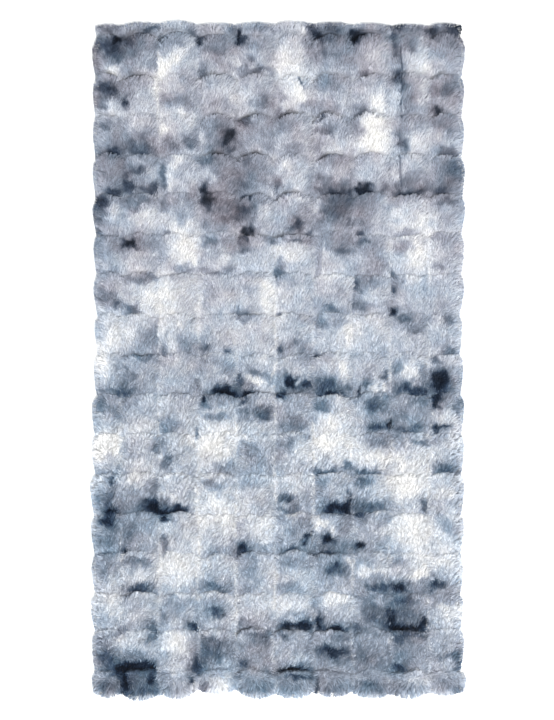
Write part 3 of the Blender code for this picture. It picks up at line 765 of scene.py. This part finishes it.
def strand_colours(root, seen, low_half, gap, luck, draw):
    """Each strand's colour: its dye there, its own and its lock's chance, and painted shade in creases,
    between locks and at the rug's edge.
    """
    count = len(root.x)
    tone = dye_tone(root, seen[:, 0], seen[:, 1])
    # A few strands in the foot half are lighter at random; those at the rug's very edge are darker: painted
    # shade.
    tone = tone + 0.12 * (draw.random(count) < 0.10 * low_half) - 0.06 * smooth(-root.inward, -0.008, 0.0)
    colour = dye_colour(seen[:, 0], seen[:, 1], np.clip(tone, 0, 1))
    colour *= (1 + draw.normal(0, 0.10, count) + mix(0.14, 0.26, low_half) * (luck - 0.5))[:, None]
    # Painted shade in the crease before the next tuft down.
    colour *= mix(1, 0.38, crease_shade(root))[:, None]
    # Painted shade in the gaps between locks, stronger towards the foot end.
    colour *= mix(1 - mix(0.12, 0.40, low_half), 1, smooth(gap, 0.0, 0.35))[:, None]
    return np.clip(colour, 0, 1)


def grow_band(name, rows, seed):
    """One band of long pile: each strand is a slim kite of two triangles, bent at its middle."""
    draw = np.random.default_rng(seed)
    root = strand_roots(ROW_LINES[rows[0]], ROW_LINES[rows[1]], draw)
    count = len(root.x)
    low_half = smooth(root.v, 5, 12)
    way, bottom = strand_ways(root, low_half, draw)
    pull, gap, luck = gather(root, low_half, draw)
    way = turned(way, mix(0.35, 0.70, low_half) * (2 * luck[:, 0] - 1))
    pull *= (1 - 0.6 * bottom)[:, None]
    start, middle, tip = strand_points(root, low_half, way, bottom, pull, luck[:, 1], draw)

    roll = draw.normal(0, 0.45, count)
    side = np.stack([way[:, 1] * np.cos(roll), -way[:, 0] * np.cos(roll), np.sin(roll)], axis=-1)
    side *= (STRAND_WIDTH / 2 * draw.uniform(0.7, 1.3, count))[:, None]
    points = np.stack([start, middle + side, middle - side, tip], axis=1).reshape(-1, 3)
    points[:, 2] = np.clip(points[:, 2], LOWEST, HIGHEST)
    corners = np.full(2 * count, 3)
    faces = (np.array([0, 1, 2, 2, 1, 3]) + 4 * np.arange(count)[:, None]).ravel()

    colour = strand_colours(root, mix(middle, tip, 0.4), low_half, gap, luck[:, 2], draw)
    # How far along its strand each point lies; the pile material turns this into painted shade towards the
    # roots.
    reach = np.tile([0.0, 0.6, 0.6, 1.0], (count, 1))
    reach[:, 0] = mix(0.4, 0.1, low_half)
    attributes = {"dye": np.repeat(colour, 4, axis=0), "reach": reach.ravel()}
    piece = mesh_piece(name, points, faces, corners, attributes)
    piece.data.shade_smooth()
    return piece


# ---- what lies under it


def underwool():
    """The dense wool under the long pile: a closed relief of all the tufts."""
    # The mesh lines of one tuft, closest together where its head rises.
    across = np.arange(0, 1, 1 / 14)
    along = np.concatenate([[0, 0.015, 0.04, 0.07, 0.105], np.linspace(0.15, 0.93, 11), [0.975]])
    u = np.concatenate([k + across for k in range(COLUMNS)] + [[COLUMNS]])
    v = np.concatenate([k + along for k in range(ROWS)] + [[ROWS]])
    place = spot(*[g.ravel() for g in np.meshgrid(u, v)])
    lowest = 0.004
    height = np.maximum(place.height - FUZZ, lowest)
    shrink = 1 - 0.004 / WIDTH * 2, 1 - 0.003 / LENGTH * 2  # a little inside the outline
    top = np.stack([place.x * shrink[0], place.y * shrink[1], height], axis=-1)
    number = np.arange(len(top)).reshape(len(v), len(u))
    quads = np.stack([number[:-1, :-1], number[1:, :-1], number[1:, 1:], number[:-1, 1:]], axis=-1)
    ring = np.concatenate([number[0, :-1], number[:-1, -1], number[-1, :0:-1], number[:0:-1, 0]])
    below = top[ring] * [0.985, 0.99, 0] + [0, 0, 0.002]
    low_ring = len(top) + np.arange(len(ring))
    walls = np.stack([ring, np.roll(ring, -1), np.roll(low_ring, -1), low_ring], axis=-1)
    faces = np.concatenate([quads.reshape(-1), walls.reshape(-1), low_ring])
    corners = np.concatenate([np.full(quads.size // 4 + len(walls), 4), [len(low_ring)]])
    colour = dye_colour(place.x, place.y, dye_tone(place, place.x, place.y))
    # Painted shade in the crease before the next tuft down.
    colour *= mix(1, 0.28, crease_shade(place))[:, None]
    attributes = {"dye": np.concatenate([colour, colour[ring]])}
    piece = mesh_piece("rug_underwool", np.concatenate([top, below]), faces, corners, attributes)
    piece.data.shade_smooth()
    return piece


def ground_cloth():
    """The knitted ground: a thin closed sheet under the wool, with the rug's outline."""
    thick = 0.0018
    inside = 0.012  # how far inside the outline it ends
    u = np.linspace(0, 1, 8 * COLUMNS, endpoint=False) * COLUMNS
    v = np.linspace(0, 1, 8 * ROWS, endpoint=False) * ROWS
    ring_u = np.concatenate([u, np.full(len(v), COLUMNS), COLUMNS - u, np.zeros(len(v))])
    ring_v = np.concatenate([np.zeros(len(u)), v, np.full(len(u), ROWS), ROWS - v])
    place = spot(ring_u, ring_v)
    outline = place.x * (1 - 2 * inside / WIDTH), place.y * (1 - 2 * inside / LENGTH)
    count = len(place.x)
    points = np.concatenate([np.stack([*outline, np.full(count, z)], axis=-1) for z in (0, thick)])
    index = np.arange(count)
    follow = np.roll(index, -1)
    walls = np.stack([index + count, follow + count, follow, index], axis=-1)
    faces = np.concatenate([walls.reshape(-1), index, (index + count)[::-1]])
    corners = np.concatenate([np.full(count, 4), [count, count]])
    return mesh_piece("rug_ground_cloth", points, faces, corners, {})


# ---- materials


def feed(tree, node, inputs):
    """Set a node's inputs, each to a value or to the output that it is linked from."""
    for key, value in inputs.items():
        if isinstance(value, bpy.types.NodeSocket):
            tree.links.new(value, node.inputs[key])
        else:
            node.inputs[key].default_value = value


def add(tree, kind, inputs, **settings):
    node = tree.nodes.new("ShaderNode" + kind)
    for key, value in settings.items():
        setattr(node, key, value)
    feed(tree, node, inputs)
    return node


def finished(name, inputs_of):
    """A material whose surface has the inputs that a function makes in its node tree."""
    material = bpy.data.materials.new(name)
    material.use_nodes = True
    tree = material.node_tree
    feed(tree, tree.nodes["Principled BSDF"], inputs_of(tree))
    return material


def grain(tree, scale, low, high):
    """A fine noise over the piece: its own value, and the same spread between low and high."""
    place = add(tree, "TexCoord", {}).outputs["Object"]
    noise = add(tree, "TexNoise", {"Vector": place, "Scale": scale, "Detail": 3}).outputs["Fac"]
    ends = {"From Min": 0.3, "From Max": 0.7, "To Min": low, "To Max": high}
    return noise, add(tree, "MapRange", {"Value": noise, **ends}).outputs["Result"]


def calculate(tree, operation, *values):
    return add(tree, "Math", dict(enumerate(values)), operation=operation).outputs["Value"]


def raised(tree, height, distance):
    return add(tree, "Bump", {"Height": height, "Distance": distance}).outputs["Normal"]


def dyed(tree, strength):
    """The piece's own dye, scaled by a strength."""
    dye = add(tree, "Attribute", {}, attribute_name="dye").outputs["Color"]
    return add(tree, "VectorMath", {0: dye, "Scale": strength}, operation="SCALE").outputs["Vector"]


def pile_inputs(tree):
    """Long soft wool with painted shade deep in the pile: paler and lighter towards the strands' tips, with a
    fine uneven grain.
    """
    reach = add(tree, "Attribute", {}, attribute_name="reach").outputs["Fac"]
    # Painted shade deep in the pile: the strands darker towards their roots.
    along = add(tree, "MapRange", {"Value": reach, "From Max": 0.9, "To Min": 0.45}).outputs["Result"]
    fine, uneven = grain(tree, 700, 0.94, 1.06)
    return {
        "Base Color": dyed(tree, calculate(tree, "MULTIPLY", along, uneven)),
        "Roughness": grain(tree, 60, 0.74, 0.88)[1],
        "Normal": raised(tree, fine, 0.0001),
        "Specular IOR Level": 0.12,
        "Sheen Weight": 0.05,
    }


def underwool_inputs(tree):
    """Short dense wool, matted into small clumps, and darkened with painted shade under the long pile."""
    # The dye scaled to about half: painted shade under the long pile, varied by its clumps.
    clumps, uneven = grain(tree, 420, 0.45, 0.65)
    return {
        "Base Color": dyed(tree, uneven),
        "Roughness": grain(tree, 90, 0.88, 0.98)[1],
        "Normal": raised(tree, clumps, 0.0015),
        "Specular IOR Level": 0.1,
    }


def knit_inputs(tree):
    """A plain knitted cloth: upright ribs of loops, in an undyed cream that varies a little."""
    place = add(tree, "TexCoord", {}).outputs["Object"]
    ribs = []
    for direction, pitch in (("X", 0.0032), ("Y", 0.0024)):
        inputs = {"Vector": place, "Scale": 2 * math.pi / 20 / pitch, "Distortion": 0.6}
        ribs.append(add(tree, "TexWave", inputs, bands_direction=direction).outputs["Fac"])
    loops = calculate(tree, "MULTIPLY", *ribs)
    share = calculate(tree, "MULTIPLY_ADD", loops, 0.5, grain(tree, 12, 0.0, 0.5)[1])
    tints = {"Factor": share, "A": (0.46, 0.45, 0.42, 1), "B": (0.68, 0.67, 0.63, 1)}
    return {
        "Base Color": add(tree, "Mix", tints, data_type="RGBA").outputs["Result"],
        "Roughness": grain(tree, 300, 0.85, 0.95)[1],
        "Normal": raised(tree, loops, 0.0006),
        "Specular IOR Level": 0.2,
    }


def floor_inputs(tree):
    """A plain matt studio floor."""
    return {
        "Base Color": (0.93, 0.93, 0.93, 1),
        "Roughness": grain(tree, 40, 0.88, 0.92)[1],
        "Specular IOR Level": 0.1,
    }


# ---- the stage


def build_floor():
    mesh = bpy.data.meshes.new("floor")
    reach = 30.0
    sides = [(-reach, -reach, 0), (reach, -reach, 0), (reach, reach, 0), (-reach, reach, 0)]
    mesh.from_pydata(sides, [], [(0, 1, 2, 3)])
    floor = new_object("floor", mesh)
    floor.location.z = -0.0005
    floor.data.materials.append(finished("pale_floor", floor_inputs))


def build_lights():
    """An even bright room, and a soft lamp beyond the foot end that gives the tufts their shadows."""
    world = bpy.data.worlds.new("studio")
    bpy.context.scene.world = world
    world.use_nodes = True
    tree = world.node_tree
    feed(tree, tree.nodes["Background"], {"Color": (0.975, 0.995, 1.0, 1), "Strength": 1.07})

    lamp = bpy.data.lights.new("soft_box", "AREA")
    lamp.shape = "DISK"
    lamp.size = 1.2
    lamp.energy = 240
    box = new_object("soft_box", lamp)
    box.location = (0.7, -1.5, 3.7)
    box.rotation_euler = (Vector((0, 0, 0)) - box.location).to_track_quat("-Z", "Y").to_euler()


def build_camera():
    """Straight above the rug, with the head end at the top of the picture."""
    camera = new_object("camera", bpy.data.cameras.new("camera"))
    camera.data.lens = 100
    camera.data.sensor_width = 36
    picture_height = 1.0621 * LENGTH  # the rug with its margins
    distance = picture_height / 2 / (camera.data.sensor_width / 2 / camera.data.lens)
    camera.location = (-0.0025, 0.0005, CROWN * 0.75 + distance)
    bpy.context.scene.camera = camera


def main():
    build_floor()
    build_lights()
    wool = underwool()
    wool.data.materials.append(finished("underwool", underwool_inputs))
    cloth = ground_cloth()
    cloth.data.materials.append(finished("ground_knit", knit_inputs))
    pile = finished("pile_wool", pile_inputs)
    bands = []
    for k, rows in enumerate([(0, 5), (5, 9), (9, 13), (13, 18)]):
        band = grow_band(f"rug_pile_{k + 1}", rows, 100 + k)
        band.data.materials.append(pile)
        bands.append(band)
    for piece in [wool, cloth, *bands]:
        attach(piece, "root")
        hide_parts(NODE)
    build_camera()
    bpy.context.scene.view_settings.view_transform = "Standard"


main()
